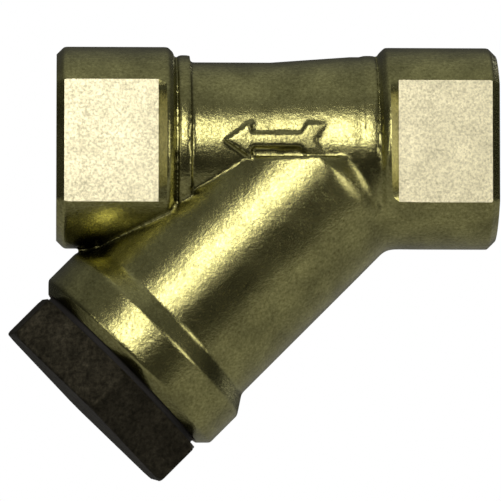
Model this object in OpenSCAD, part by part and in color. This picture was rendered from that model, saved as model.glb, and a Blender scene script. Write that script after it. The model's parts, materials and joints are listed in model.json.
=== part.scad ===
// Y strainer: a threaded in-line body whose slanted branch holds a mesh-lined
// perforated screen behind a screwed hexagon cap.
//
// The origin is the centre of the inlet's mouth. The run lies along X with the
// inlet facing +X, and the branch leans down toward the outlet in the XZ plane.
// Each screw thread is drawn as the plain cylinder that its crests reach.

/* [Run] */
// Distance from the inlet's face to the outlet's face
face_to_face = 68; // [66:1:84]
// Diameter of the round collar at each end
collar_d = 31.3; // [30:0.1:34]
// Length of each collar
collar_len = 18.1; // [17.5:0.1:20]
// Distance across the two wrench flats of a collar
flats_across = 25; // [24:0.5:28]
// Length of each wrench flat, from the end face to the foot of its slope
flat_len = 15.6; // [12:0.1:15.8]
// Diameter of the raised ring beside each collar
ring_d = 28.8; // [28:0.1:30]
// Length of each ring, with the groove that parts it from the collar
ring_len = 2.5; // [2:0.1:4]
// Diameter of the neck between the rings
neck_d = 26.6; // [26:0.1:27.6]
// Diameter that the neck flares to beside the inlet's ring
flare_d = 28.4; // [27.8:0.1:28.6]
// Length of the flare
flare_len = 12.4; // [8:0.1:14]

/* [Ports] */
// Wall diameter of each threaded port, the crests of a half inch pipe thread
port_d = 18.64; // [17:0.01:20]
// Depth of each threaded port
port_depth = 14; // [12:0.5:15]
// Diameter of the plain passage behind each port
passage_d = 15; // [12:0.5:16]

/* [Branch] */
// Angle between the run and the branch
branch_angle = 45; // [45:1:50]
// Distance from the middle of the run to the branch's axis, toward the inlet
branch_offset = 10.5; // [9:0.5:12]
// Diameter of the branch's barrel
branch_d = 31.6; // [30.6:0.1:33]
// Diameter of the rim at the branch's mouth
rim_d = 35.4; // [34:0.1:38]
// Distance along the branch from the run's axis to the rim's face
branch_reach = 48.4; // [46:0.1:60]
// Length of the rim, without the slope behind it
rim_len = 7.4; // [5:0.1:9]
// Diameter of the chamber around the screen
chamber_d = 23.2; // [21:0.1:24]

/* [Arrow] */
// Length of the raised flow arrow
arrow_len = 15.5; // [12:0.5:16]
// Height of the arrow's head
arrow_h = 5.6; // [4:0.1:6]
// How far the arrow stands out of the neck
arrow_relief = 0.7; // [0.4:0.1:1]

/* [Cap] */
// Distance across the flats of the cap's hexagon
cap_flats = 32; // [30:0.5:36]
// Height of the hexagon
cap_head = 7.6; // [6:0.1:12]
// Turn of the hexagon from having one corner at the front
cap_clock = -5; // [-30:1:30]
// Diameter of the cap's threaded plug
cap_thread_d = 26; // [25:0.1:27]
// Length of the plug below the hexagon
cap_plug = 9; // [7:0.1:10]
// Thickness of the flat gasket under the hexagon
gasket_t = 1; // [0.5:0.1:2]
// Outer diameter of the gasket
gasket_d = 31; // [29:0.1:32]

/* [Screen] */
// Outer diameter of the screen's perforated tube
screen_d = 17.2; // [14:0.1:17.8]
// Thickness of the perforated sheet
sheet_t = 0.4; // [0.3:0.05:0.6]
// Diameter of each perforation
hole_d = 1.6; // [1:0.1:1.8]
// Perforations around the tube
holes_around = 20; // [12:2:20]
// Rows of perforations along the tube
hole_rows = 16; // [8:1:16]
// Diameter of the mesh liner's wires
wire_d = 0.3; // [0.2:0.02:0.34]
// Lengthwise wires around the mesh
long_wires = 30; // [12:2:48]
// Hoop wires along the mesh
hoop_wires = 28; // [12:1:28]
// Thickness of each end ring's wall
band_t = 0.45; // [0.3:0.05:0.5]
// Length of each end ring
band_len = 2.5; // [2:0.1:4]

/* [Fits] */
// Radial gap between the cap's thread and the branch's thread
thread_gap = 0.05; // [0.02:0.01:0.1]
// Radial gap between the screen's tube and its end rings
band_gap = 0.05; // [0.02:0.01:0.1]
// Radial gap between the seat's end ring and the seat's recess
seat_gap = 0.1; // [0.05:0.05:0.3]
// Radial gap between the cap's end ring and the cap's socket
socket_gap = 0.2; // [0.1:0.05:0.3]
// Gap left at each end of the screen
screen_end_gap = 0.05; // [0.02:0.01:0.1]

/* [Hidden] */

$fn = 96;
brass = "#8a8250";
bronze = "#4b4632";
steel = "#a8abad";
fibre = "#2c2a28";
// Extra length that carries each cut through a face
over = 1;
// Size of the blocks that bound half a space
block = 200;

// Chamfer on the outer edge of each end face
end_edge = 1.2;
// Chamfer on the collar's inner shoulder
shoulder_edge = 0.8;
// Width and depth of the countersink at each port's mouth
port_edge = 1;
port_sink = 0.45;
// How far the cone at a port's floor runs past the passage's wall
cone_past = 0.1;
// Length along the run of a wrench flat's sloping end
flat_slope = 1.3;
// Width and depth of the groove between a collar and its ring
groove_w = 0.4;
groove_depth = 0.7;
// Chamfer on both edges of a ring
ring_edge = 0.3;
ring_end = collar_len + ring_len;
flare_plain = 1.9;

// Place of the branch's axis on the run
branch_x = branch_offset - face_to_face / 2;
// Distances along the branch, from the run's axis
barrel_root = 0.8;
barrel_start = 5;
rim_slope = 2.9;
rim_start = branch_reach - rim_len;
rim_edge = 1.5;
mouth_edge = 0.6;
port_wall_end = 1.5;
seat_s = 3;
seat_depth = 2;
chamber_start = seat_s + seat_depth;
outlet_stop = 12;
// Height of the barrel's top, just under the arrow
ledge_z = -2.7;
seat_hole_d = passage_d - 0.6;

// The screen reaches from the seat to the bottom of the cap's socket
head_s = branch_reach + gasket_t;
plug_s = head_s - cap_plug;
socket_s = head_s + 0.6;
thread_relief = 1;
screen_start = seat_s + screen_end_gap;
screen_end = socket_s - screen_end_gap;
screen_len = screen_end - screen_start;
band_in = screen_d / 2 + band_gap;
band_out = band_in + band_t;
seat_r = band_out + seat_gap;
socket_r = band_out + socket_gap;
bore_r = cap_thread_d / 2 + thread_gap;
cap_edge = 0.9;
cap_undercut = 0.8;
undercut_len = 1.5;
plug_edge = 0.6;
gasket_bore_r = cap_thread_d / 2 + 0.1;

// The plain strip without perforations at each end of the tube
plain_end = 4.2;
row_step = (screen_len - 2 * plain_end) / (hole_rows - 1);
hole_step = 360 / holes_around;
peg_over = 0.4;
// The hoops lie against the sheet, and the lengthwise wires lie inside them
wire_gap = 0.05;
hoop_r = screen_d / 2 - sheet_t - wire_gap - wire_d / 2;
long_r = hoop_r - wire_d - wire_gap;
mesh_inset = 0.7;
mesh_len = screen_len - 2 * mesh_inset;

// Shape of the arrow, as shares of its length and of its head's height
head_share = 0.26;
tail_share = 0.25;
shaft_share = 0.36;
fletch_share = 0.9;
notch_share = 0.12;
// Where the arrow's middle lies, from the branch's axis toward the outlet
arrow_shift = 11;

// Places a shape drawn from z = 0 upward so that it runs inward from the inlet
module from_inlet() {
  rotate([0, -90, 0]) children();
}

// The same from the outlet
module from_outlet() {
  translate([-face_to_face, 0, 0]) rotate([0, 90, 0]) children();
}

// Places a shape so that z runs down the branch and y stays sideways
module on_branch() {
  translate([branch_x, 0, 0]) rotate([0, 180 + branch_angle, 0]) children();
}

// A plain cylinder between two distances along z
module rod(r, from, to) {
  translate([0, 0, from]) cylinder(h = to - from, r = r);
}

// A cone between two distances along z
module taper(r_from, r_to, from, to) {
  translate([0, 0, from]) cylinder(h = to - from, r1 = r_from, r2 = r_to);
}

// A tube between two distances along z
module tube(r_in, r_out, from, to) {
  difference() {
    rod(r_out, from, to);
    rod(r_in, from - over, to + over);
  }
}

// One end of the run: the collar, its groove and its ring, with the end face at z = 0
module end_collar() {
  r = collar_d / 2;
  groove_r = ring_d / 2 - groove_depth;
  ring_start = collar_len + groove_w;
  difference() {
    rotate_extrude() polygon([
      [0, 0],
      [r - end_edge, 0],
      [r, end_edge],
      [r, collar_len - shoulder_edge],
      [r - shoulder_edge, collar_len],
      [groove_r, collar_len],
      [groove_r, ring_start],
      [ring_d / 2 - ring_edge, ring_start],
      [ring_d / 2, ring_start + ring_edge],
      [ring_d / 2, ring_end - ring_edge],
      [ring_d / 2 - ring_edge, ring_end],
      [0, ring_end],
    ]);
    wrench_flat();
    mirror([0, 1, 0]) wrench_flat();
  }
}

// The cut for one wrench flat, chamfered at the end face and sloping up toward the ring
module wrench_flat() {
  r = collar_d / 2;
  lift = r - flats_across / 2;
  flat_y = flats_across / 2;
  rotate([0, 90, 0]) rotate([0, 0, 90]) linear_extrude(height = collar_d, center = true) polygon([
    [flat_y - end_edge - over, -over],
    [flat_y, end_edge],
    [flat_y, flat_len],
    [flat_y + lift, flat_len + flat_slope],
    [flat_y + 2 * lift, flat_len + flat_slope],
    [flat_y + 2 * lift, -over],
  ]);
}

// The neck between the collars, flared beside the inlet's ring
module neck() {
  flare_start = ring_end + flare_plain;
  from_inlet() {
    rod(neck_d / 2, end_edge + over, face_to_face - end_edge - over);
    rod(flare_d / 2, collar_len + over, flare_start);
    taper(flare_d / 2, neck_d / 2 - 0.1, flare_start, flare_start + flare_len);
  }
}

// The branch's barrel and rim, cut off level below the arrow and sloped into the neck
module branch_barrel() {
  r = branch_d / 2;
  rim_r = rim_d / 2;
  intersection() {
    on_branch() rotate_extrude() polygon([
      [0, barrel_root],
      [neck_d / 2, barrel_root],
      [r, barrel_start],
      [r, rim_start - rim_slope],
      [rim_r, rim_start],
      [rim_r, branch_reach - rim_edge],
      [rim_r - rim_edge, branch_reach],
      [0, branch_reach],
    ]);
    translate([-block / 2 + branch_x, -block / 2, ledge_z - block]) cube(block);
  }
}

// The raised arrow on the front of the neck, pointing at the outlet
module flow_arrow() {
  tip = -arrow_len / 2;
  tail = arrow_len / 2;
  neck_x = tip + arrow_len * head_share;
  tail_x = tail - arrow_len * tail_share;
  half = arrow_h / 2;
  shaft = half * shaft_share;
  fletch = half * fletch_share;
  intersection() {
    translate([branch_x - arrow_shift, 0, 0]) rotate([90, 0, 0])
      linear_extrude(height = collar_d) polygon([
        [tip, 0],
        [neck_x, half],
        [neck_x, shaft],
        [tail_x, shaft],
        [tail_x + shaft, fletch],
        [tail, fletch],
        [tail - arrow_len * notch_share, 0],
        [tail, -fletch],
        [tail_x + shaft, -fletch],
        [tail_x, -shaft],
        [neck_x, -shaft],
        [neck_x, -half],
      ]);
    from_inlet() rod(neck_d / 2 + arrow_relief, collar_len, face_to_face - collar_len);
  }
}

// One threaded port with its countersunk mouth and the cone at its floor
module port_bore() {
  narrowing = (port_d - passage_d) / 2 + cone_past;
  rod(port_d / 2, -over, port_depth);
  taper(port_d / 2, port_d / 2 - narrowing, port_depth, port_depth + narrowing);
  taper(port_d / 2 + port_edge * (1 + over / port_sink), port_d / 2, -over, port_sink);
}

// The inlet's passage, which stops at the slanting wall that carries the seat
module inlet_passage() {
  intersection() {
    from_inlet() rod(passage_d / 2, port_depth - over, face_to_face - port_depth);
    on_branch() translate([-block / 2, -block / 2, port_wall_end - block]) cube(block);
  }
  on_branch() rod(seat_hole_d / 2, -seat_depth, seat_s + over);
}

// The outlet's passage, which opens into the chamber around the screen
module outlet_passage() {
  from_inlet() rod(passage_d / 2, -branch_x + outlet_stop, face_to_face - port_depth + over);
}

// The chamber, the seat's recess and the threaded mouth of the branch
module branch_bore() {
  on_branch() {
    rod(seat_r, seat_s, chamber_start + over);
    rod(chamber_d / 2, chamber_start, branch_reach);
    rod(bore_r, plug_s - thread_relief, branch_reach + over);
    taper(bore_r - over, bore_r + mouth_edge + over, branch_reach - mouth_edge - over, branch_reach + over);
  }
}

module body() {
  color(brass) difference() {
    union() {
      from_inlet() end_collar();
      from_outlet() end_collar();
      neck();
      branch_barrel();
      flow_arrow();
    }
    from_inlet() port_bore();
    from_outlet() port_bore();
    inlet_passage();
    outlet_passage();
    branch_bore();
  }
}

// A hexagon on a hollow threaded plug, with a blind socket for the screen's end
module cap() {
  corner_r = cap_flats / 2 / cos(30);
  face_r = corner_r - cap_edge;
  plug_r = cap_thread_d / 2;
  top = head_s + cap_head;
  color(bronze) on_branch() difference() {
    union() {
      intersection() {
        translate([0, 0, head_s]) rotate([0, 0, 30 + cap_clock])
          cylinder(h = cap_head, r = corner_r, $fn = 6);
        rotate_extrude() polygon([
          [0, head_s],
          [face_r, head_s],
          [corner_r + over, head_s + (cap_edge + over) * tan(30)],
          [corner_r + over, top - (cap_edge + over) * tan(30)],
          [face_r, top],
          [0, top],
        ]);
      }
      rod(plug_r - cap_undercut, head_s - undercut_len - over, head_s + over);
      rotate_extrude() polygon([
        [0, plug_s],
        [plug_r - plug_edge, plug_s],
        [plug_r, plug_s + plug_edge],
        [plug_r, head_s - undercut_len - cap_undercut],
        [plug_r - cap_undercut, head_s - undercut_len],
        [0, head_s - undercut_len],
      ]);
    }
    rod(socket_r, plug_s - over, socket_s);
  }
}

module cap_gasket() {
  color(fibre) on_branch() tube(gasket_bore_r, gasket_d / 2, branch_reach, head_s);
}

// One row of perforations: each peg pierces the sheet on one side only
module hole_row(turn) {
  for (i = [0 : holes_around - 1])
    rotate([0, 0, turn + i * hole_step]) rotate([0, 90, 0])
      rod(hole_d / 2, screen_d / 2 - sheet_t - peg_over, screen_d / 2 + peg_over);
}

module screen_tube() {
  color(steel) on_branch() difference() {
    tube(screen_d / 2 - sheet_t, screen_d / 2, screen_start, screen_end);
    for (row = [0 : hole_rows - 1])
      translate([0, 0, screen_start + plain_end + row * row_step])
        hole_row(turn = (row % 2) * hole_step / 2);
  }
}

module mesh_long_wires() {
  start = screen_start + mesh_inset;
  color(steel) on_branch()
    for (i = [0 : long_wires - 1])
      rotate([0, 0, i * 360 / long_wires]) translate([long_r, 0, 0])
        rod(wire_d / 2, start, start + mesh_len);
}

module mesh_hoop_wires() {
  step = (mesh_len - 2 * wire_d) / (hoop_wires - 1);
  color(steel) on_branch()
    for (i = [0 : hoop_wires - 1])
      translate([0, 0, screen_start + mesh_inset + wire_d + i * step])
        rotate_extrude() translate([hoop_r, 0]) circle(r = wire_d / 2, $fn = 24);
}

module screen_seat_ring() {
  color(steel) on_branch() tube(band_in, band_out, screen_start, screen_start + band_len);
}

module screen_cap_ring() {
  color(steel) on_branch() tube(band_in, band_out, screen_end - band_len, screen_end);
}

body();
cap();
cap_gasket();
screen_tube();
mesh_long_wires();
mesh_hoop_wires();
screen_seat_ring();
screen_cap_ring();
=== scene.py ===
"""The looks of a threaded Y strainer, built round its packed model."""

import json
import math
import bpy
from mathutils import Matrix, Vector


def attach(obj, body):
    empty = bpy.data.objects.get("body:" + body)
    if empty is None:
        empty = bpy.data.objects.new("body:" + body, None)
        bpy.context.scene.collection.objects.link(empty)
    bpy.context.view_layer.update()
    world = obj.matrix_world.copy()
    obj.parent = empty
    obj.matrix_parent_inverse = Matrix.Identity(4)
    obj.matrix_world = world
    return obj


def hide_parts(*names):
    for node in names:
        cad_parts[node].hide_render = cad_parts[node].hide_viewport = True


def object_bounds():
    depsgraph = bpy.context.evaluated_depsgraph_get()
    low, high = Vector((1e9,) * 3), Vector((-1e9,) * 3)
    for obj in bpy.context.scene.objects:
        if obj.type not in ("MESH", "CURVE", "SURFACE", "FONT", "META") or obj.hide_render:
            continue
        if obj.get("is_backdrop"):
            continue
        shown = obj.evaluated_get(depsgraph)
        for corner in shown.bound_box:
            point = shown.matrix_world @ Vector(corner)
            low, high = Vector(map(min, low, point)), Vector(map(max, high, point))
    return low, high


bl_info = {
    "name": "Y Strainer",
    "version": (1, 0, 0),
    "blender": (4, 5, 0),
    "location": "View3D > Sidebar > Strainer",
    "description": "Forged body, screwed cap, gasket and screen of a threaded Y strainer",
    "category": "Add Mesh",
}

import bmesh
import bpy
from mathutils import Matrix, Vector

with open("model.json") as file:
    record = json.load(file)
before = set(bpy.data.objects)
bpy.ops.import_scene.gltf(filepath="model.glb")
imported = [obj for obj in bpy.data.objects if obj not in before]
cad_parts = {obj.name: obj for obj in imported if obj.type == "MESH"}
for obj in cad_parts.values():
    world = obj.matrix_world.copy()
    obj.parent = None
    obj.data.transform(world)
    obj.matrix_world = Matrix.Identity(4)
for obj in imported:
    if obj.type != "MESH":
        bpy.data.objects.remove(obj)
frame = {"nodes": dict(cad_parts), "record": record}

MM = 0.001
# Vertices nearer than this are one vertex
WELD = 0.001 * MM
# How far a cut runs past the face that it opens
PAST = 1 * MM
# How far each port's countersink opens past the thread's roots
COUNTERSINK = 0.3 * MM
# How far the cap's thread is sunk in its plug, so that the two join
SUNK = 0.05 * MM

RECORD = frame["record"]
MOUNTS = {mount["name"]: mount for mount in RECORD["mounts"]}
JOINTS = {joint["name"]: joint for joint in RECORD["behaviour"]["joints"]}
INLET_MOUTH = Vector(MOUNTS["inlet_thread"]["pos_m"])
OUTLET_MOUTH = Vector(MOUNTS["outlet_thread"]["pos_m"])
PORT_R = MOUNTS["inlet_thread"]["dims"]["r_mm"] * MM
RUN_LENGTH = (INLET_MOUTH - OUTLET_MOUTH).length
BRANCH_ROOT = Vector(JOINTS["cap_turn"]["pos_m"])
BRANCH_AXIS = Vector(JOINTS["cap_turn"]["axis"]).normalized()


def length(label, meaning, millimetres):
    """A size that the sidebar shows as a length."""
    return bpy.props.FloatProperty(
        name=label, description=meaning, default=millimetres * MM, min=0, unit="LENGTH", precision=5
    )


def tint(label, meaning, red, green, blue):
    """A colour that the sidebar shows as a swatch."""
    return bpy.props.FloatVectorProperty(
        name=label, description=meaning, default=(red, green, blue), min=0, max=1, subtype="COLOR"
    )


def degrees(label, meaning, angle):
    """An angle that the sidebar shows in degrees."""
    return bpy.props.FloatProperty(
        name=label, description=meaning, default=math.radians(angle), subtype="ANGLE", unit="ROTATION"
    )


def count(label, meaning, number):
    """A whole number of like things."""
    return bpy.props.IntProperty(name=label, description=meaning, default=number, min=2)


class StrainerRun(bpy.types.PropertyGroup):
    """Sizes of the straight run between the two pipes"""

    collar_d: length("Collar diameter", "Diameter of the round collar at each end", 31.3)
    collar_len: length("Collar length", "Length of each collar", 18.1)
    collar_edge: length("Collar edge", "Width of the rounding at each end face", 1.2)
    shoulder: length("Shoulder", "Width of the rounding on the collar's inner shoulder", 0.9)
    flats: length("Across flats", "Distance across the two wrench flats", 25)
    flat_len: length("Flat length", "Length of each wrench flat", 15.6)
    flat_slope: length("Flat slope", "Length of the slope at the inner end of a flat", 1.3)
    ring_d: length("Ring diameter", "Diameter of the raised ring beside each collar", 28.8)
    ring_len: length("Ring length", "Length of each ring and its groove", 2.5)
    groove: length("Groove", "Width and depth of the groove between collar and ring", 0.75)
    neck_d: length("Neck diameter", "Diameter of the neck", 26.6)
    flare_d: length("Flare diameter", "Diameter of the neck beside the inlet's ring", 28.4)
    flare_plain: length("Flare land", "Length of the flare's level part", 1.9)
    flare_len: length("Flare length", "Length of the flare's slope", 12.4)
    passage_d: length("Passage diameter", "Diameter of the passage behind each port", 15)
    port_depth: length("Port depth", "Depth of each threaded port", 14)
    port_major_d: length("Port major diameter", "Diameter of the port's thread at its roots", 20.95)
    port_pitch: length("Port pitch", "Pitch of the port's thread", 1.814)


class StrainerBranch(bpy.types.PropertyGroup):
    """Sizes of the slanted branch"""

    barrel_d: length("Barrel diameter", "Diameter of the branch's barrel", 31.6)
    barrel_root: length("Barrel root", "Where the barrel leaves the neck, from the run's axis", 0.8)
    barrel_start: length("Barrel start", "Where the barrel reaches its full diameter", 5)
    fillet: length("Fillet", "Reach of the soft blend between the barrel and the inlet's end", 9)
    rim_d: length("Rim diameter", "Diameter of the rim", 35.4)
    rim_len: length("Rim length", "Length of the rim", 7.4)
    rim_slope: length("Rim slope", "Length of the slope behind the rim", 2.9)
    rim_edge: length("Rim edge", "Rounding of the rim's outer edge", 1.5)
    reach: length("Reach", "Distance from the run's axis to the rim's face", 48.4)
    ledge_drop: length("Ledge drop", "Depth of the barrel's top below the run's axis", 2.7)
    chamber_d: length("Chamber diameter", "Diameter of the chamber round the screen", 23.2)
    seat_at: length("Seat", "Distance from the run's axis to the screen's seat", 3)
    seat_depth: length("Seat depth", "Depth of the recess that centres the screen", 2)
    seat_d: length("Seat diameter", "Diameter of that recess", 18.4)
    seat_hole_d: length("Seat hole", "Diameter of the opening in the seat", 14.4)
    wall_end: length("Wall", "Where the slanting wall under the inlet starts", 1.5)
    outlet_stop: length("Outlet stop", "Distance from the crossing to the outlet passage's end", 12)


class StrainerArrow(bpy.types.PropertyGroup):
    """Sizes of the raised flow arrow"""

    span: length("Length", "Length of the arrow", 15.5)
    height: length("Height", "Height of the arrow's head", 5.6)
    relief: length("Relief", "How far the arrow stands out of the neck", 0.7)
    shift: length("Shift", "Distance from the branch's axis to the arrow's middle", 11)


class StrainerCap(bpy.types.PropertyGroup):
    """Sizes of the screwed cap and its gasket"""

    flats: length("Across flats", "Distance across the hexagon's flats", 32)
    head: length("Head height", "Height of the hexagon", 7.6)
    clock: degrees("Clocking", "Turn of the hexagon from one corner at the front", -5)
    chamfer: length("Chamfer", "Width of the chamfer on the hexagon's corners", 0.9)
    thread_d: length("Thread diameter", "Outer diameter of the plug's thread", 26)
    thread_pitch: length("Thread pitch", "Pitch of the plug's thread", 1.5)
    thread_depth: length("Thread depth", "Depth of the thread", 0.85)
    thread_gap: length("Thread gap", "Radial gap between the two threads", 0.05)
    plug: length("Plug length", "Length of the plug under the hexagon", 9)
    undercut: length("Undercut", "Length of the plain neck under the hexagon", 1.5)
    socket_d: length("Socket diameter", "Diameter of the socket for the screen's end", 18.6)
    socket_extra: length("Socket reach", "Depth of the socket beyond the hexagon's face", 0.6)
    gasket_t: length("Gasket thickness", "Thickness of the gasket", 1)
    gasket_d: length("Gasket diameter", "Outer diameter of the gasket", 31)
    gasket_bore: length("Gasket bore", "Inner diameter of the gasket", 26.2)


class StrainerScreen(bpy.types.PropertyGroup):
    """Sizes of the screen's liner and end rings"""

    tube_d: length("Tube diameter", "Outer diameter of the perforated tube", 17.2)
    sheet: length("Sheet thickness", "Thickness of the perforated sheet", 0.4)
    end_gap: length("End gap", "Gap at each end of the screen", 0.05)
    band: length("Band thickness", "Thickness of each end ring", 0.45)
    band_len: length("Band length", "Length of each end ring", 2.5)
    wire: length("Wire diameter", "Diameter of the mesh liner's wires", 0.3)
    mesh_inset: length("Mesh inset", "Distance from the tube's end to the mesh's end", 0.7)
    long_wires: count("Lengthwise wires", "Wires along the mesh", 30)
    hoop_wires: count("Hoop wires", "Wires round the mesh", 28)


class StrainerFinish(bpy.types.PropertyGroup):
    """Colours of the metals and the gasket"""

    forged: tint("Forged brass", "Blasted skin of the forging", 0.58, 0.56, 0.235)
    forged_dark: tint("Forged shadow", "Tarnish in the forging's skin", 0.29, 0.275, 0.10)
    machined: tint("Machined brass", "Brass where a tool has cut it", 0.80, 0.64, 0.30)
    # Pale partly from grinding and partly as a painted highlight on the wrench flats
    ground_sheen: tint("Ground brass", "Wrench flats", 0.95, 0.90, 0.61)
    cap: tint("Cap bronze", "Rough skin of the cap", 0.088, 0.079, 0.053)
    steel: tint("Stainless steel", "Screen, mesh and end rings", 0.62, 0.62, 0.61)
    gasket: tint("Gasket", "Dark fibre gasket", 0.012, 0.011, 0.010)


class StrainerStage(bpy.types.PropertyGroup):
    """Camera, floor and lights"""

    azimuth: degrees("Azimuth", "Camera's turn round the part", -2)
    elevation: degrees("Elevation", "Camera's height above the horizon", -4.5)
    distance: length("Distance", "From the camera to the aim", 900)
    view_width: length("View width", "Width that the picture takes in", 77.6)
    aim_x: length("Aim", "Aim's distance from the middle of the run, toward the outlet", 3.9)
    aim_drop: length("Aim drop", "Depth of the aim below the run's axis", 15.9)
    floor_drop: length("Floor drop", "Depth of the floor below the part", 60)
    floor_reach: length("Floor reach", "From the floor's middle to its edges", 4000)
    cloth_front: length("Cloth's place", "From the part forward to the dark cloth's middle", 830)
    cloth_width: length("Cloth width", "Width of the dark cloth", 1500)
    cloth_depth: length("Cloth depth", "Depth of the dark cloth from front to back", 1400)


def settings(group):
    """One group of the sidebar's values."""
    return getattr(bpy.context.scene, "strainer_" + group)


# Places that the pieces are made in: local +Z runs along the axis, and Y stays sideways


def standing(axis, start):
    """The matrix that stands local +Z along an axis in the XZ plane."""
    turn = math.atan2(axis.x, axis.z)
    return Matrix.Translation(start) @ Matrix.Rotation(turn, 4, "Y")


INWARD = (OUTLET_MOUTH - INLET_MOUTH).normalized()
FROM_INLET = standing(INWARD, INLET_MOUTH)
FROM_OUTLET = standing(-INWARD, OUTLET_MOUTH)
ON_BRANCH = standing(BRANCH_AXIS, BRANCH_ROOT)
# Tips local +Z over to the front
TO_FRONT = Matrix.Rotation(math.radians(90), 4, "X")


# Mesh work


def sweep(mesh, geometry, angle, steps, rise=0, closed=False):
    """Turns and lifts vertices, edges or faces round the Z axis; the rise is for one step."""
    bmesh.ops.spin(
        mesh,
        geom=geometry,
        axis=(0, 0, 1),
        cent=(0, 0, 0),
        dvec=(0, 0, rise),
        angle=angle,
        steps=steps,
        use_merge=closed,
    )


def spun(outline, steps=96, ring=False):
    """A closed solid of revolution from an outline of (radius, height) points."""
    mesh = bmesh.new()
    verts = [mesh.verts.new((radius, 0, height)) for radius, height in outline]
    ends = verts[1:] + verts[:1] if ring else verts[1:]
    edges = [mesh.edges.new(pair) for pair in zip(verts, ends)]
    sweep(mesh, verts + edges, math.tau, steps, closed=True)
    bmesh.ops.remove_doubles(mesh, verts=mesh.verts, dist=WELD)
    bmesh.ops.recalc_face_normals(mesh, faces=mesh.faces)
    return mesh


def rod(radius, start, end, steps=96):
    """A plain cylinder between two heights."""
    return spun([(0, start), (radius, start), (radius, end), (0, end)], steps)


def rounded(outline, radius, steps=4):
    """The same closed outline with every corner rounded off."""
    points = [Vector(point) for point in outline]
    result = []
    for before, corner, after in zip(points[-1:] + points, points, points[1:] + points[:1]):
        start = corner + (before - corner).normalized() * radius
        end = corner + (after - corner).normalized() * radius
        for step in range(steps + 1):
            share = step / steps
            bend = start.lerp(corner, share).lerp(corner.lerp(end, share), share)
            result.append(tuple(bend))
    return result


def prism(outline, depth):
    """A flat outline of (x, y) points raised to a depth along +Z."""
    mesh = bmesh.new()
    verts = [mesh.verts.new((x, y, 0)) for x, y in outline]
    face = mesh.faces.new(verts)
    raised = bmesh.ops.extrude_face_region(mesh, geom=[face])["geom"]
    lifted = [item for item in raised if isinstance(item, bmesh.types.BMVert)]
    bmesh.ops.translate(mesh, verts=lifted, vec=(0, 0, depth))
    bmesh.ops.recalc_face_normals(mesh, faces=mesh.faces)
    return mesh


def keep_below(mesh, point, normal):
    """Cuts a closed mesh with a plane, keeps the side behind the plane and closes it."""
    everything = mesh.verts[:] + mesh.edges[:] + mesh.faces[:]
    cut = bmesh.ops.bisect_plane(
        mesh, geom=everything, dist=WELD, plane_co=point, plane_no=normal, clear_outer=True
    )["geom_cut"]
    edges = [item for item in cut if isinstance(item, bmesh.types.BMEdge)]
    bmesh.ops.edgeloop_fill(mesh, edges=edges)
    bmesh.ops.recalc_face_normals(mesh, faces=mesh.faces)
    return mesh


def thread_rod(tooth, pitch, start, end, steps=64):
    """A screw from one pitch of its outline, cut off square at both ends."""
    mesh = bmesh.new()
    spare_turns = 3
    turns = math.ceil((end - start) / pitch) + spare_turns
    verts = [mesh.verts.new((radius, 0, height)) for radius, height in tooth]
    edges = [mesh.edges.new(pair) for pair in zip(verts, verts[1:])]
    sweep(mesh, verts + edges, math.tau * turns, steps * turns, rise=pitch / steps)
    bmesh.ops.remove_doubles(mesh, verts=mesh.verts, dist=WELD)
    bmesh.ops.translate(mesh, verts=mesh.verts, vec=(0, 0, start - spare_turns / 2 * pitch))
    keep_below(mesh, (0, 0, end), (0, 0, 1))
    keep_below(mesh, (0, 0, start), (0, 0, -1))
    return mesh


def trapezium(root, crest, pitch, land=0.17):
    """One pitch of a thread's outline; the land is each flat's share of the pitch."""
    slope = (1 - 2 * land) / 2
    return [
        (root, 0),
        (root, land * pitch),
        (crest, (land + slope) * pitch),
        (crest, (2 * land + slope) * pitch),
        (root, pitch),
    ]


def as_object(name, mesh, place=None, *materials):
    """A named object from a finished bmesh, with its place put in the mesh."""
    if place is not None:
        bmesh.ops.transform(mesh, matrix=place, verts=mesh.verts)
    data = bpy.data.meshes.new(name)
    mesh.to_mesh(data)
    mesh.free()
    for material in materials:
        data.materials.append(material)
    made = bpy.data.objects.new(name, data)
    bpy.context.scene.collection.objects.link(made)
    return made


def settle(made):
    """Applies the modifiers of an object to its mesh."""
    graph = bpy.context.evaluated_depsgraph_get()
    old = made.data
    new = bpy.data.meshes.new_from_object(made.evaluated_get(graph), depsgraph=graph)
    made.modifiers.clear()
    made.data = new
    new.name = old.name
    bpy.data.meshes.remove(old)


def combine(target, tool, operation):
    """A boolean of two objects, which uses the second one up."""
    step = target.modifiers.new("combine", "BOOLEAN")
    step.operation = operation
    step.solver = "MANIFOLD"
    step.object = tool
    settle(target)
    bpy.data.objects.remove(tool)
    if not target.data.polygons:
        raise RuntimeError(f"{target.name}: the {operation.lower()} left nothing")


def forge(made, voxel, rounds):
    """Softens a rough solid the way a forging die does."""
    grid = made.modifiers.new("skin", "REMESH")
    grid.mode = "VOXEL"
    grid.voxel_size = voxel
    soften = made.modifiers.new("soften", "SMOOTH")
    soften.factor = 0.5
    soften.iterations = rounds
    settle(made)


def ease(made, centre, reach, rounds):
    """Blends the corners near a crosswise line into a broad fillet."""
    group = made.vertex_groups.new(name="ease")
    for vert in made.data.vertices:
        away = math.hypot(vert.co.x - centre.x, vert.co.z - centre.z)
        if away < reach:
            group.add([vert.index], min(1, 2 - 2 * away / reach), "REPLACE")
    soften = made.modifiers.new("ease", "SMOOTH")
    soften.factor = 0.5
    soften.iterations = rounds
    soften.vertex_group = group.name
    settle(made)
    made.vertex_groups.clear()


def thin(made, keep):
    """Keeps a share of a dense mesh's faces."""
    step = made.modifiers.new("thin", "DECIMATE")
    step.ratio = keep
    settle(made)


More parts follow.
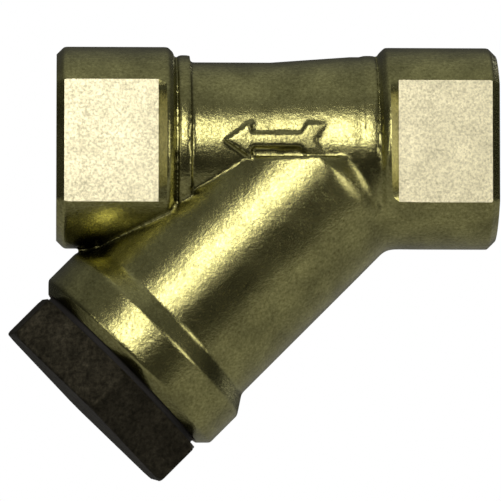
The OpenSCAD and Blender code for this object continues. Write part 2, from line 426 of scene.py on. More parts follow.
def shade(made, angle=35):
    """Smooth shading, broken at sharp corners and where one finish meets another."""
    mesh = bmesh.new()
    mesh.from_mesh(made.data)
    for face in mesh.faces:
        face.smooth = True
    limit = math.radians(angle)
    for edge in mesh.edges:
        finishes = {face.material_index for face in edge.link_faces}
        edge.smooth = len(finishes) == 1 and edge.calc_face_angle(0) < limit
    mesh.to_mesh(made.data)
    mesh.free()


# Materials


def blank_material(name, metallic):
    """A material with its shader, its coordinates and a way to wire them."""
    material = bpy.data.materials.new(name)
    material.use_nodes = True
    tree = material.node_tree
    shader = tree.nodes["Principled BSDF"]
    shader.inputs["Metallic"].default_value = metallic
    where = tree.nodes.new("ShaderNodeTexCoord").outputs["Object"]
    return material, tree, shader, where


def noise(tree, where, grain, detail=3, roughness=0.6):
    """Noise whose lumps are about one grain wide."""
    node = tree.nodes.new("ShaderNodeTexNoise")
    node.inputs["Scale"].default_value = 1 / grain
    node.inputs["Detail"].default_value = detail
    node.inputs["Roughness"].default_value = roughness
    tree.links.new(where, node.inputs["Vector"])
    return node.outputs["Fac"]


def ramp(tree, value, *stops):
    """A colour ramp from (place, colour) stops."""
    node = tree.nodes.new("ShaderNodeValToRGB")
    band = node.color_ramp
    while len(band.elements) < len(stops):
        band.elements.new(0.5)
    for element, (place, colour) in zip(band.elements, stops):
        element.position = place
        element.color = (*colour, 1)
    tree.links.new(value, node.inputs["Fac"])
    return node.outputs["Color"]


def grey_ramp(tree, value, *stops):
    """A ramp of greys from (place, brightness) stops."""
    return ramp(tree, value, *((place, grey(level)) for place, level in stops))


def grey(level):
    """A grey as a colour."""
    return (level, level, level)


def scaled(colour, share):
    """A colour made lighter or darker."""
    return tuple(min(1, part * share) for part in colour)


def darkened(tree, colour, mask):
    """One colour multiplied by another."""
    node = tree.nodes.new("ShaderNodeMix")
    node.data_type = "RGBA"
    node.blend_type = "MULTIPLY"
    # The Mix node's sockets for colours have the same names as those for numbers
    share, first, second, result = 0, 6, 7, 2
    node.inputs[share].default_value = 1
    tree.links.new(colour, node.inputs[first])
    tree.links.new(mask, node.inputs[second])
    return node.outputs[result]


def bump(tree, height, depth, under=None):
    """A bump of a real depth, laid on the one under it."""
    node = tree.nodes.new("ShaderNodeBump")
    node.inputs["Distance"].default_value = depth
    tree.links.new(height, node.inputs["Height"])
    if under is not None:
        tree.links.new(under, node.inputs["Normal"])
    return node.outputs["Normal"]


def crevices(tree, reach):
    """How open the surface is: dark in corners, light on plain faces; multiplied into a colour, it paints
    shade into the corners.
    """
    node = tree.nodes.new("ShaderNodeAmbientOcclusion")
    node.samples = 8
    node.inputs["Distance"].default_value = reach
    return node.outputs["AO"]


def forged_brass():
    """Blasted brass: grainy, olive, with corners darkened partly as tarnished skin and partly as painted
    shade.
    """
    finish = settings("finish")
    material, tree, shader, where = blank_material("forged_brass", 1)
    light, dark = tuple(finish.forged), tuple(finish.forged_dark)
    grain = noise(tree, where, 0.45 * MM, detail=4, roughness=0.7)
    patches = noise(tree, where, 6 * MM, roughness=0.55)
    skin = ramp(tree, grain, (0.30, dark), (0.62, light), (0.80, scaled(light, 1.5)))
    skin = darkened(tree, skin, grey_ramp(tree, patches, (0.35, 0.62), (0.70, 1)))
    # Painted shade and real tarnishing: the corners are darkened by how closed in they are
    tarnish_and_shade = grey_ramp(tree, crevices(tree, 3 * MM), (0.25, 0.10), (0.85, 1))
    tree.links.new(darkened(tree, skin, tarnish_and_shade), shader.inputs["Base Color"])
    rough = grey_ramp(tree, grain, (0.30, 0.29), (0.70, 0.17))
    tree.links.new(rough, shader.inputs["Roughness"])
    lumps = bump(tree, noise(tree, where, 3.2 * MM, detail=2), 0.07 * MM)
    tree.links.new(bump(tree, grain, 0.045 * MM, lumps), shader.inputs["Normal"])
    return material


def machined_brass():
    """Bright brass that a tool has cut, with faint tool marks and painted shade in its corners."""
    finish = settings("finish")
    material, tree, shader, where = blank_material("machined_brass", 1)
    tone = tuple(finish.machined)
    patches = noise(tree, where, 2.5 * MM, detail=4)
    skin = ramp(tree, patches, (0.30, scaled(tone, 0.72)), (0.70, tone))
    # Painted shade: corners and bores are darkened by how closed in they are
    painted_corner_shade = grey_ramp(tree, crevices(tree, 4 * MM), (0.15, 0.35), (0.75, 1))
    tree.links.new(darkened(tree, skin, painted_corner_shade), shader.inputs["Base Color"])
    shader.inputs["Roughness"].default_value = 0.27
    marks = noise(tree, where, 0.25 * MM, detail=2)
    tree.links.new(bump(tree, marks, 0.012 * MM), shader.inputs["Normal"])
    return material


def ground_sheen_brass():
    """The sandy, pale face of a wrench flat, left by a grinding belt; its paleness is partly a painted
    highlight.
    """
    finish = settings("finish")
    material, tree, shader, where = blank_material("ground_sheen_brass", 1)
    # The pale tone is partly a painted highlight, brighter than the forging's brass
    tone = tuple(finish.ground_sheen)
    grain = noise(tree, where, 0.4 * MM, detail=5, roughness=0.75)
    patches = noise(tree, where, 5 * MM)
    skin = ramp(tree, grain, (0.30, scaled(tone, 0.55)), (0.58, tone))
    skin = darkened(tree, skin, grey_ramp(tree, patches, (0.30, 0.80), (0.65, 1)))
    tree.links.new(skin, shader.inputs["Base Color"])
    rough = grey_ramp(tree, grain, (0.30, 0.52), (0.70, 0.36))
    tree.links.new(rough, shader.inputs["Roughness"])
    lumps = bump(tree, patches, 0.03 * MM)
    tree.links.new(bump(tree, grain, 0.03 * MM, lumps), shader.inputs["Normal"])
    return material


def cap_bronze():
    """Dark, rough, as-forged skin of the cap."""
    finish = settings("finish")
    material, tree, shader, where = blank_material("cap_bronze", 1)
    tone = tuple(finish.cap)
    grain = noise(tree, where, 0.7 * MM, detail=5, roughness=0.75)
    patches = noise(tree, where, 4 * MM)
    skin = ramp(tree, grain, (0.32, scaled(tone, 0.30)), (0.66, tone), (0.84, scaled(tone, 1.9)))
    skin = darkened(tree, skin, grey_ramp(tree, patches, (0.35, 0.55), (0.70, 1)))
    tree.links.new(skin, shader.inputs["Base Color"])
    rough = grey_ramp(tree, grain, (0.30, 0.72), (0.75, 0.46))
    tree.links.new(rough, shader.inputs["Roughness"])
    lumps = bump(tree, patches, 0.18 * MM)
    tree.links.new(bump(tree, grain, 0.16 * MM, lumps), shader.inputs["Normal"])
    return material


def stainless(name, roughness, grain):
    """Stainless steel with a fine grain, duller where the grain is darker."""
    finish = settings("finish")
    material, tree, shader, where = blank_material(name, 1)
    tone = tuple(finish.steel)
    speck = noise(tree, where, grain)
    skin = ramp(tree, speck, (0.30, scaled(tone, 0.72)), (0.70, tone))
    tree.links.new(skin, shader.inputs["Base Color"])
    rough = grey_ramp(tree, speck, (0.30, roughness + 0.12), (0.70, roughness))
    tree.links.new(rough, shader.inputs["Roughness"])
    tree.links.new(bump(tree, speck, 0.008 * MM), shader.inputs["Normal"])
    return material


def gasket_fibre():
    """Pressed dark fibre with a slight grain."""
    finish = settings("finish")
    material, tree, shader, where = blank_material("gasket_fibre", 0)
    tone = tuple(finish.gasket)
    flecks = noise(tree, where, 0.35 * MM, detail=4, roughness=0.7)
    skin = ramp(tree, flecks, (0.35, tone), (0.75, scaled(tone, 2.2)))
    tree.links.new(skin, shader.inputs["Base Color"])
    shader.inputs["Roughness"].default_value = 0.78
    tree.links.new(bump(tree, flecks, 0.04 * MM), shader.inputs["Normal"])
    return material


def plain_paint(name, level, roughness):
    """A plain grey for the stage."""
    material = blank_material(name, 0)[0]
    shader = material.node_tree.nodes["Principled BSDF"]
    shader.inputs["Base Color"].default_value = (*grey(level), 1)
    shader.inputs["Roughness"].default_value = roughness
    return material


# The body


def run_outline(size):
    """Outline of the run's forging, from before the inlet's face to past the outlet's."""
    collar = size.collar_d / 2
    ring = size.ring_d / 2
    deep = ring - size.groove
    neck = size.neck_d / 2
    flare = size.flare_d / 2
    ring_end = size.collar_len + size.ring_len
    ring_start = size.collar_len + size.groove
    end = [
        (0, -PAST),
        (collar - size.collar_edge - PAST, -PAST),
        (collar, size.collar_edge),
        (collar, size.collar_len - size.shoulder),
        (collar - size.shoulder, size.collar_len),
        (deep, size.collar_len),
        (deep, (size.collar_len + ring_start) / 2),
        (ring, ring_start),
        (ring, ring_end),
    ]
    flared = [
        (flare, ring_end),
        (flare, ring_end + size.flare_plain),
        (neck, ring_end + size.flare_plain + size.flare_len),
        (neck, RUN_LENGTH - ring_end),
    ]
    return end + flared + [(radius, RUN_LENGTH - height) for radius, height in reversed(end)]


def flat_cutter(size, place, side, ground_sheen, skin):
    """The block that leaves one wrench flat, with its chamfer and the slope that ends it."""
    level = size.flats / 2
    collar = size.collar_d / 2
    half_width = math.sqrt(collar**2 - level**2)
    top = level + size.collar_d
    strips = 24
    mesh = bmesh.new()
    rows = []
    for step in range(strips + 1):
        across = half_width * (2 * step / strips - 1)
        crest = math.sqrt(collar**2 - across**2) + WELD
        outline = [
            (top, -2 * PAST),
            (level - size.collar_edge - 2 * PAST, -2 * PAST),
            (level, size.collar_edge),
            (level, size.flat_len),
            (crest, size.flat_len + size.flat_slope),
            (top, size.flat_len + size.flat_slope),
        ]
        rows.append([mesh.verts.new((across, side * out, along)) for out, along in outline])
    # Only the level face gets the grinding and the pale finish, which is partly a painted highlight; the
    # chamfer and the slope keep the forging's skin
    level_side = 3
    for row, after in zip(rows, rows[1:]):
        for n in range(len(row)):
            face = mesh.faces.new((row[n - 1], row[n], after[n], after[n - 1]))
            face.material_index = 0 if n == level_side else 1
    mesh.faces.new(rows[0])
    mesh.faces.new(rows[-1])
    bmesh.ops.recalc_face_normals(mesh, faces=mesh.faces)
    return as_object("flat_cutter", mesh, place, ground_sheen, skin)


def barrel_blank(size, root):
    """The branch's barrel and rim, cut off level below the arrow and sloped into the neck."""
    barrel, rim = size.barrel_d / 2, size.rim_d / 2
    rim_start = size.reach - size.rim_len
    mesh = spun([
        (0, size.barrel_root),
        (root, size.barrel_root),
        (barrel, size.barrel_start),
        (barrel, rim_start - size.rim_slope),
        (rim, rim_start),
        (rim, size.reach - size.rim_edge),
        (rim - size.rim_edge - PAST, size.reach + PAST),
        (0, size.reach + PAST),
    ])
    bmesh.ops.transform(mesh, matrix=ON_BRANCH, verts=mesh.verts)
    keep_below(mesh, (0, 0, -size.ledge_drop), (0, 0, 1))
    return as_object("barrel", mesh)


def arrow_blank(size, neck_r):
    """The raised flow arrow, which follows the neck's roundness."""
    half_span, half = size.span / 2, size.height / 2
    # Shares of the arrow's length, from its middle
    head, tail, notch = -0.24 * size.span, 0.25 * size.span, 0.38 * size.span
    # Shares of the head's half height
    shaft, fletch = 0.36 * half, 0.9 * half
    upper = [
        (head, half),
        (head, shaft),
        (tail, shaft),
        (tail + shaft, fletch),
        (half_span, fletch),
    ]
    lower = [(x, -y) for x, y in reversed(upper)]
    mesh = prism([(-half_span, 0)] + upper + [(notch, 0)] + lower, neck_r + PAST)
    place = Matrix.Translation((BRANCH_ROOT.x - size.shift, 0, 0)) @ TO_FRONT
    arrow = as_object("arrow", mesh, place)
    hull = as_object("hull", rod(neck_r + size.relief, 0, RUN_LENGTH), FROM_INLET)
    combine(arrow, hull, "INTERSECT")
    return arrow


def port_cutter(size, place, metal):
    """A pipe thread with its countersink, as the tap and the drill leave it."""
    root = size.port_major_d / 2
    end = size.port_depth
    passage = size.passage_d / 2
    sink = root + COUNTERSINK
    tooth = trapezium(PORT_R, root, size.port_pitch)
    thread = thread_rod(tooth, size.port_pitch, -PAST, end)
    countersink = spun([
        (0, -2 * PAST),
        (sink + 2 * PAST, -2 * PAST),
        (PORT_R, sink - PORT_R),
        (0, sink - PORT_R),
    ])
    floor = spun([
        (0, end - PAST),
        (PORT_R, end - PAST),
        (PORT_R, end),
        (passage, end + PORT_R - passage),
        (0, end + PAST),
    ])
    cutter = as_object("port", thread, place, metal)
    combine(cutter, as_object("sink", countersink, place, metal), "UNION")
    combine(cutter, as_object("floor", floor, place, metal), "UNION")
    return cutter


def cut(body, name, mesh, place, finish):
    """Cuts a shape out of the body and leaves its finish on the cut."""
    combine(body, as_object(name, mesh, place, finish), "DIFFERENCE")


def rough_forging(run, branch, arrow, skin):
    """The uncut forging, with soft edges and a fillet between the branch and the inlet's end."""
    neck = run.neck_d / 2
    body = as_object("strainer_body", spun(run_outline(run)), FROM_INLET, skin)
    combine(body, barrel_blank(branch, neck), "UNION")
    combine(body, arrow_blank(arrow, neck), "UNION")
    forge(body, voxel=0.3 * MM, rounds=3)
    collar_foot = INLET_MOUTH + INWARD * run.collar_len - Vector((0, 0, run.collar_d / 2))
    ease(body, collar_foot.lerp(BRANCH_ROOT, 0.3), reach=branch.fillet, rounds=120)
    thin(body, keep=0.45)
    return body


def machine_ends(body, run, skin, metal, ground_sheen):
    """Cuts the wrench flats, the end faces and the threaded ports."""
    for place in (FROM_INLET, FROM_OUTLET):
        for side in (1, -1):
            combine(body, flat_cutter(run, place, side, ground_sheen, skin), "DIFFERENCE")
        cut(body, "face", rod(run.collar_d / 2 + PAST / 2, -4 * PAST, 0), place, metal)
        combine(body, port_cutter(run, place, metal), "DIFFERENCE")


def bore_passages(body, run, branch, skin):
    """Cuts the inlet's passage down to the slanting wall, and the outlet's."""
    passage = run.passage_d / 2
    inlet = rod(passage, run.port_depth - PAST, RUN_LENGTH - run.port_depth)
    bmesh.ops.transform(inlet, matrix=FROM_INLET, verts=inlet.verts)
    keep_below(inlet, BRANCH_ROOT + BRANCH_AXIS * branch.wall_end, BRANCH_AXIS)
    cut(body, "inlet", inlet, None, skin)
    stop = (BRANCH_ROOT - INLET_MOUTH).length + branch.outlet_stop
    outlet = rod(passage, stop, RUN_LENGTH - run.port_depth + PAST)
    cut(body, "outlet", outlet, FROM_INLET, skin)


def bore_branch(body, branch, skin, metal):
    """Cuts the screen's seat with its opening, and the chamber round the screen."""
    chamber_start = branch.seat_at + branch.seat_depth
    seat = rod(branch.seat_d / 2, branch.seat_at, chamber_start + PAST)
    hole = rod(branch.seat_hole_d / 2, -branch.seat_depth, branch.seat_at + PAST)
    chamber = rod(branch.chamber_d / 2, chamber_start, branch.reach)
    cut(body, "seat", seat, ON_BRANCH, metal)
    cut(body, "hole", hole, ON_BRANCH, metal)
    cut(body, "chamber", chamber, ON_BRANCH, skin)


def tap_mouth(body, branch, cap, metal):
    """Cuts the thread for the cap, with its countersink."""
    bore = cap.thread_d / 2 + cap.thread_gap
    root = bore + cap.thread_depth
    tooth = trapezium(bore, root, cap.thread_pitch)
    start = branch.reach + cap.gasket_t - cap.plug - PAST
    thread = thread_rod(tooth, cap.thread_pitch, start, branch.reach + PAST)
    cut(body, "thread", thread, ON_BRANCH, metal)
    countersink = spun([
        (0, branch.reach - cap.thread_depth),
        (bore, branch.reach - cap.thread_depth),
        (root + PAST, branch.reach + PAST),
        (0, branch.reach + PAST),
    ])
    cut(body, "sink", countersink, ON_BRANCH, metal)


def build_body():
    """The forging with its machined ports, seat, chamber and mouth."""
    run, branch = settings("run"), settings("branch")
    skin, metal, ground_sheen = forged_brass(), machined_brass(), ground_sheen_brass()
    body = rough_forging(run, branch, settings("arrow"), skin)
    machine_ends(body, run, skin, metal, ground_sheen)
    mouth = rod(branch.rim_d / 2 + PAST, branch.reach, branch.reach + 4 * PAST)
    cut(body, "mouth", mouth, ON_BRANCH, metal)
    bore_passages(body, run, branch, skin)
    bore_branch(body, branch, skin, metal)
    tap_mouth(body, branch, settings("cap"), metal)
    shade(body)
    return body


# The cap and its gasket


def hexagon_head(cap, seat, skin, metal):
    """The cap's chamfered hexagon, with a machined underside."""
    # Half the angle between two corners
    half_side = math.radians(30)
    top = seat + cap.head
    corner = cap.flats / 2 / math.cos(half_side)
    face = corner - cap.chamfer
    rise = cap.chamfer * math.tan(half_side)
    turn = Matrix.Rotation(half_side + cap.clock, 4, "Z")
    head = as_object("strainer_cap", rod(corner, seat - PAST, top, steps=6), ON_BRANCH @ turn, skin)
    envelope = spun([
        (0, seat - 2 * PAST),
        (face, seat - 2 * PAST),
        (face, seat),
        (corner, seat + rise),
        (corner, top - rise),
        (face, top),
        (0, top),
    ])
    combine(head, as_object("envelope", envelope, ON_BRANCH), "INTERSECT")
    forge(head, voxel=0.28 * MM, rounds=4)
    thin(head, keep=0.3)
    cut(head, "underside", rod(2 * corner, seat - 4 * PAST, seat, steps=24), ON_BRANCH, metal)
    return head


def threaded_plug(cap, seat, metal):
    """The plug under the hexagon, with a thread that tapers off at both ends."""
    crest = cap.thread_d / 2
    root = crest - cap.thread_depth
    start = seat - cap.plug
    end = seat - cap.undercut
    plug = as_object("plug", rod(root, start, seat + PAST), ON_BRANCH, metal)
    tooth = trapezium(root - SUNK, crest, cap.thread_pitch)
    thread = thread_rod(tooth, cap.thread_pitch, start, end)
    screw = as_object("screw", thread, ON_BRANCH, metal)
    ends = spun([
        (0, start),
        (root, start),
        (crest, start + cap.thread_depth),
        (crest, end - cap.thread_depth),
        (root, end),
        (0, end),
    ])
    combine(screw, as_object("ends", ends, ON_BRANCH, metal), "INTERSECT")
    combine(plug, screw, "UNION")
    return plug


def build_cap():
    """The hexagon on its hollow threaded plug."""
    cap, branch = settings("cap"), settings("branch")
    skin, metal = cap_bronze(), machined_brass()
    seat = branch.reach + cap.gasket_t
    body = hexagon_head(cap, seat, skin, metal)
    combine(body, threaded_plug(cap, seat, metal), "UNION")
    socket = rod(cap.socket_d / 2, seat - cap.plug - PAST, seat + cap.socket_extra)
    cut(body, "socket", socket, ON_BRANCH, metal)
    shade(body)
    return body


def build_gasket():
    """The flat ring in the seam, with softly rounded edges."""
    cap, branch = settings("cap"), settings("branch")
    inner, outer = cap.gasket_bore / 2, cap.gasket_d / 2
    low, high = branch.reach, branch.reach + cap.gasket_t
    corners = [(inner, low), (outer, low), (outer, high), (inner, high)]
    shape = spun(rounded(corners, radius=0.2 * MM), ring=True)
    ring = as_object("strainer_gasket", shape, ON_BRANCH, gasket_fibre())
    shade(ring)
    return ring


# The screen

# Sides of a wire's section
WIRE_SIDES = 6


def screen_span():
    """Where the screen starts and ends along the branch."""
    branch, cap, screen = settings("branch"), settings("cap"), settings("screen")
    start = branch.seat_at + screen.end_gap
    end = branch.reach + cap.gasket_t + cap.socket_extra - screen.end_gap
    return start, end


def end_ring(name, start):
    """One crimped end ring with rolled lips."""
    screen = settings("screen")
    inner = screen.tube_d / 2 + screen.end_gap
    outer = inner + screen.band
    end = start + screen.band_len
    # The waist's depth between the lips, and a lip's width
    waist, lip = 0.12 * MM, 0.55 * MM
    corners = [
        (inner, start),
        (outer, start),
        (outer, start + lip),
        (outer - waist, start + 2 * lip),
        (outer - waist, end - 2 * lip),
        (outer, end - lip),
        (outer, end),
        (inner, end),
    ]
    shape = spun(rounded(corners, radius=0.1 * MM), ring=True)
    steel = stainless(name + "_steel", roughness=0.28, grain=0.6 * MM)
    ring = as_object(name, shape, ON_BRANCH, steel)
    shade(ring, angle=60)
    return ring


def woven_radius(screen):
    """The middle radius of the woven mesh, and how far its wires wave."""
    hoop = screen.tube_d / 2 - screen.sheet - screen.end_gap - screen.wire / 2
    inside = hoop - screen.wire - screen.end_gap
    return (hoop + inside) / 2, (hoop - inside) / 2


def copies(singles, places):
    """One mesh that repeats some finished meshes in turn, one at each place."""
    kinds = []
    for single in singles:
        kinds.append(bpy.data.meshes.new("single"))
        single.to_mesh(kinds[-1])
        single.free()
    whole = bmesh.new()
    for number, place in enumerate(places):
        start = len(whole.verts)
        whole.from_mesh(kinds[number % len(kinds)])
        whole.verts.ensure_lookup_table()
        for vert in whole.verts[start:]:
            vert.co = place @ vert.co
    for kind in kinds:
        bpy.data.meshes.remove(kind)
    return whole


def mesh_rows(screen):
    """Where the mesh starts along the branch, its length, and the spacing of its hoops."""
    start, end = screen_span()
    total = end - start - 2 * screen.mesh_inset
    return start + screen.mesh_inset, total, (total - 2 * screen.wire) / (screen.hoop_wires - 1)


def hoop_wires():
    """The woven mesh's hoops, which wave over and under the lengthwise wires."""
    screen = settings("screen")
    low, _, pitch = mesh_rows(screen)
    radius, wave = woven_radius(screen)
    hoop = bmesh.new()
    bmesh.ops.create_circle(
        hoop,
        segments=WIRE_SIDES,
        radius=screen.wire / 2,
        matrix=Matrix.Translation((radius, 0, 0)) @ TO_FRONT,
    )
    sweep(hoop, hoop.verts[:] + hoop.edges[:], math.tau, 4 * screen.long_wires, closed=True)
    for vert in hoop.verts:
        angle = math.atan2(vert.co.y, vert.co.x)
        push = 1 + wave * math.cos(angle * screen.long_wires / 2) / radius
        vert.co.x *= push
        vert.co.y *= push
    bmesh.ops.recalc_face_normals(hoop, faces=hoop.faces)
    # One wire's turn swaps over and under
    step = math.tau / screen.long_wires
    places = []
    for row in range(screen.hoop_wires):
        lift = Matrix.Translation((0, 0, low + screen.wire + row * pitch))
        places.append(lift @ Matrix.Rotation(row * step, 4, "Z"))
    steel = stainless("hoop_steel", roughness=0.25, grain=0.3 * MM)
    return as_object("strainer_mesh_hoops", copies([hoop], places), ON_BRANCH, steel)


def long_wire(side):
    """One lengthwise wire, which passes its first hoop on the inside or the outside."""
    screen = settings("screen")
    low, total, pitch = mesh_rows(screen)
    radius, wave = woven_radius(screen)
    steps = 4 * screen.hoop_wires
    mesh = bmesh.new()
    bmesh.ops.create_circle(
        mesh,
        cap_ends=True,
        segments=WIRE_SIDES,
        radius=screen.wire / 2,
        matrix=Matrix.Translation((radius, 0, low)),
    )
    sweep(mesh, mesh.faces[:], 0, steps, rise=total / steps)
    for vert in mesh.verts:
        row = (vert.co.z - low - screen.wire) / pitch
        vert.co.x -= side * wave * math.cos(row * math.pi)
    bmesh.ops.recalc_face_normals(mesh, faces=mesh.faces)
    return mesh


def long_wires():
    """The woven mesh's lengthwise wires."""
    screen = settings("screen")
    step = math.tau / screen.long_wires
    places = [Matrix.Rotation(number * step, 4, "Z") for number in range(screen.long_wires)]
    mesh = copies([long_wire(-1), long_wire(1)], places)
    steel = stainless("wire_steel", roughness=0.25, grain=0.3 * MM)
    return as_object("strainer_mesh_wires", mesh, ON_BRANCH, steel)


# The stage

# Each light's name, azimuth, elevation, distance, width, height, power and colour
LIGHTS = (
    ("key", -9, 19, 0.6, 0.23, 0.31, 1.35, (1.0, 0.955, 0.92)),
    ("left_strip", -48, 5, 0.5, 0.12, 0.20, 0.18, (1.0, 0.96, 0.88)),
    ("right_strip", 48, 5, 0.5, 0.20, 0.22, 0.42, (1.0, 0.95, 0.88)),
    ("back_right", 140, 12, 0.6, 0.25, 0.25, 0.4, (1.0, 0.97, 0.88)),
)


# Brightness that the metal sees at each height, from straight down to straight up
SKY = ((0.00, 0.30), (0.40, 0.02), (0.52, 0.02), (0.62, 0.05), (0.80, 0.10), (1.00, 0.33))


def build_stage():
    """A pale floor, soft lights and the camera."""
    stage = settings("stage")
    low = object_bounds()[0].z - stage.floor_drop
    reach = stage.floor_reach
    level_sheet("floor", reach, reach, (0, 0, low), plain_paint("pale_floor", 0.7, 0.9))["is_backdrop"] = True
    dark_cloth(low)
    aim = Vector(((INLET_MOUTH.x + OUTLET_MOUTH.x) / 2 - stage.aim_x, 0, -stage.aim_drop))
    place_camera(stage, aim)
    for light in LIGHTS:
        soft_light(aim, *light)
    sky()
    bpy.context.scene.view_settings.view_transform = "Standard"


def level_sheet(name, half_width, half_depth, centre, finish):
    """A level rectangle that lies on the stage."""
    mesh = bmesh.new()
    bmesh.ops.create_grid(mesh, x_segments=1, y_segments=1, size=1)
    bmesh.ops.scale(mesh, verts=mesh.verts, vec=(half_width, half_depth, 1))
    bmesh.ops.translate(mesh, verts=mesh.verts, vec=centre)
    return as_object(name, mesh, None, finish)


def dark_cloth(low):
    """A dark cloth on the floor in front of the part, there only for its dark reflection."""
    stage = settings("stage")
    cloth = level_sheet(
        "dark_cloth",
        stage.cloth_width / 2,
        stage.cloth_depth / 2,
        (BRANCH_ROOT.x, -stage.cloth_front, low + 1 * MM),
        plain_paint("dark_felt", 0.01, 1),
    )
    cloth.visible_camera = False
    cloth.visible_shadow = False
    cloth.visible_diffuse = False
    cloth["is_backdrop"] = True


def place_camera(stage, aim):
    """Sets a long lens on the part at the stage's angle."""
    back = direction(stage.azimuth, stage.elevation)
    camera = bpy.data.objects.new("camera", bpy.data.cameras.new("camera"))
    bpy.context.scene.collection.objects.link(camera)
    camera.location = aim + back * stage.distance
    camera.rotation_euler = back.to_track_quat("Z", "Y").to_euler()
    lens = camera.data
    lens.sensor_width = 36
    lens.lens = lens.sensor_width * stage.distance / stage.view_width
    lens.clip_start, lens.clip_end = 0.01, 20
    bpy.context.scene.camera = camera


def direction(azimuth, elevation):
    """The way from the part to a point seen at two angles; azimuth 0 is the front."""
    level = math.cos(elevation)
    return Vector((math.sin(azimuth) * level, -math.cos(azimuth) * level, math.sin(elevation)))


def soft_light(aim, name, azimuth, elevation, distance, width, height, power, colour):
    """A rectangular soft light that faces the part."""
    light = bpy.data.lights.new(name, "AREA")
    light.shape = "RECTANGLE"
    light.size, light.size_y = width, height
    light.energy = power
    light.color = colour
    back = direction(math.radians(azimuth), math.radians(elevation))
    lamp = bpy.data.objects.new(name, light)
    lamp.location = aim + back * distance
    lamp.rotation_euler = back.to_track_quat("Z", "Y").to_euler()
    bpy.context.scene.collection.objects.link(lamp)


def sky():
    """A plain white studio to the eye, which the metal sees as a dim one."""
    world = bpy.data.worlds.new("studio")
    world.use_nodes = True
    tree = world.node_tree
    out = tree.nodes["World Output"]
    dim = tree.nodes["Background"]
    split = tree.nodes.new("ShaderNodeSeparateXYZ")
    tree.links.new(tree.nodes.new("ShaderNodeTexCoord").outputs["Generated"], split.inputs[0])
    # Heights from -1 to 1 become places from 0 to 1
    rise = tree.nodes.new("ShaderNodeMath")
    rise.operation = "MULTIPLY_ADD"
    rise.inputs[1].default_value = 0.5
    rise.inputs[2].default_value = 0.5
    tree.links.new(split.outputs["Z"], rise.inputs[0])
    tree.links.new(grey_ramp(tree, rise.outputs[0], *SKY), dim.inputs["Color"])
    white = tree.nodes.new("ShaderNodeBackground")
    white.inputs["Color"].default_value = (*grey(1), 1)
    mix = tree.nodes.new("ShaderNodeMixShader")
    tree.links.new(tree.nodes.new("ShaderNodeLightPath").outputs["Is Camera Ray"], mix.inputs["Fac"])
    tree.links.new(dim.outputs[0], mix.inputs[1])
    tree.links.new(white.outputs[0], mix.inputs[2])
    tree.links.new(mix.outputs[0], out.inputs["Surface"])
    bpy.context.scene.world = world


# Operators and the panel


class STRAINER_OT_body(bpy.types.Operator):
    """Make the forged body"""

    bl_idname = "strainer.body"
    bl_label = "Body"

    def execute(self, context):
        body = build_body()
        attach(body, "housing")
        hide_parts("body")
        return {"FINISHED"}


class STRAINER_OT_cap(bpy.types.Operator):
    """Make the screwed cap"""

    bl_idname = "strainer.cap"
    bl_label = "Cap"

    def execute(self, context):
        cap = build_cap()
        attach(cap, "cap")
        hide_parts("cap")
        return {"FINISHED"}


class STRAINER_OT_gasket(bpy.types.Operator):
    """Make the cap's gasket"""

    bl_idname = "strainer.gasket"
    bl_label = "Gasket"

    def execute(self, context):
        gasket = build_gasket()
        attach(gasket, "seal")
        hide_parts("cap_gasket")
        return {"FINISHED"}


class STRAINER_OT_screen(bpy.types.Operator):
    """Finish the perforated tube and make its end rings"""

    bl_idname = "strainer.screen"
    bl_label = "Screen"

    def execute(self, context):
        screen = settings("screen")
        tube = frame["nodes"]["screen_tube"]
        tube.data.materials.clear()
        tube.data.materials.append(stainless("screen_steel", roughness=0.30, grain=0.8 * MM))
        start, end = screen_span()
        places = {"screen_seat_ring": start, "screen_cap_ring": end - screen.band_len}
        for node, place in places.items():
            ring = end_ring("strainer_" + node, place)
            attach(ring, "strainer")
            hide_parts(node)
        return {"FINISHED"}


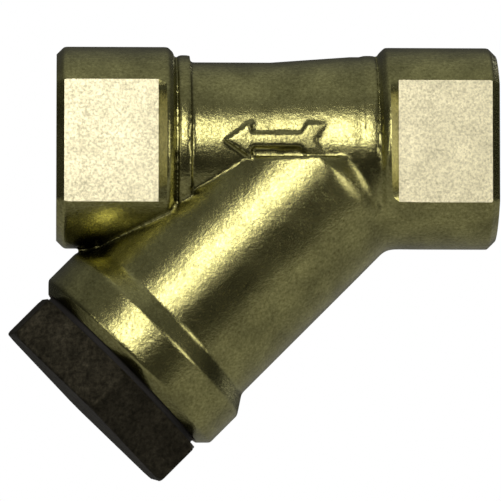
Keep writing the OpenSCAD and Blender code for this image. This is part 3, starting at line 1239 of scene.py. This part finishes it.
class STRAINER_OT_mesh(bpy.types.Operator):
    """Weave the mesh liner"""

    bl_idname = "strainer.mesh"
    bl_label = "Mesh liner"

    def execute(self, context):
        for made, node in ((hoop_wires(), "mesh_hoop_wires"), (long_wires(), "mesh_long_wires")):
            shade(made, angle=80)
            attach(made, "strainer")
            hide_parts(node)
        return {"FINISHED"}


class STRAINER_OT_stage(bpy.types.Operator):
    """Set the floor, the lights and the camera"""

    bl_idname = "strainer.stage"
    bl_label = "Stage"

    def execute(self, context):
        build_stage()
        return {"FINISHED"}


GROUPS = {
    "run": StrainerRun,
    "branch": StrainerBranch,
    "arrow": StrainerArrow,
    "cap": StrainerCap,
    "screen": StrainerScreen,
    "finish": StrainerFinish,
    "stage": StrainerStage,
}
OPERATORS = (
    STRAINER_OT_stage,
    STRAINER_OT_body,
    STRAINER_OT_cap,
    STRAINER_OT_gasket,
    STRAINER_OT_screen,
    STRAINER_OT_mesh,
)


class STRAINER_PT_panel(bpy.types.Panel):
    """The strainer's sizes and its make buttons"""

    bl_idname = "STRAINER_PT_panel"
    bl_label = "Y strainer"
    bl_space_type = "VIEW_3D"
    bl_region_type = "UI"
    bl_category = "Strainer"

    def draw(self, context):
        for operator in OPERATORS:
            self.layout.operator(operator.bl_idname)
        for name, group in GROUPS.items():
            box = self.layout.box()
            box.label(text=group.__doc__)
            for field in group.__annotations__:
                box.prop(settings(name), field)


def register():
    """Adds the sizes, the operators and the panel to Blender."""
    for name, group in GROUPS.items():
        bpy.utils.register_class(group)
        setattr(bpy.types.Scene, "strainer_" + name, bpy.props.PointerProperty(type=group))
    for kind in (*OPERATORS, STRAINER_PT_panel):
        bpy.utils.register_class(kind)


def unregister():
    """Takes them away again."""
    for kind in reversed((*OPERATORS, STRAINER_PT_panel)):
        bpy.utils.unregister_class(kind)
    for name, group in GROUPS.items():
        delattr(bpy.types.Scene, "strainer_" + name)
        bpy.utils.unregister_class(group)


def main():
    """Makes the whole strainer."""
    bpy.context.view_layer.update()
    register()
    bpy.ops.strainer.stage()
    bpy.ops.strainer.body()
    bpy.ops.strainer.cap()
    bpy.ops.strainer.gasket()
    bpy.ops.strainer.screen()
    bpy.ops.strainer.mesh()


if __name__ == "__main__":
    main()
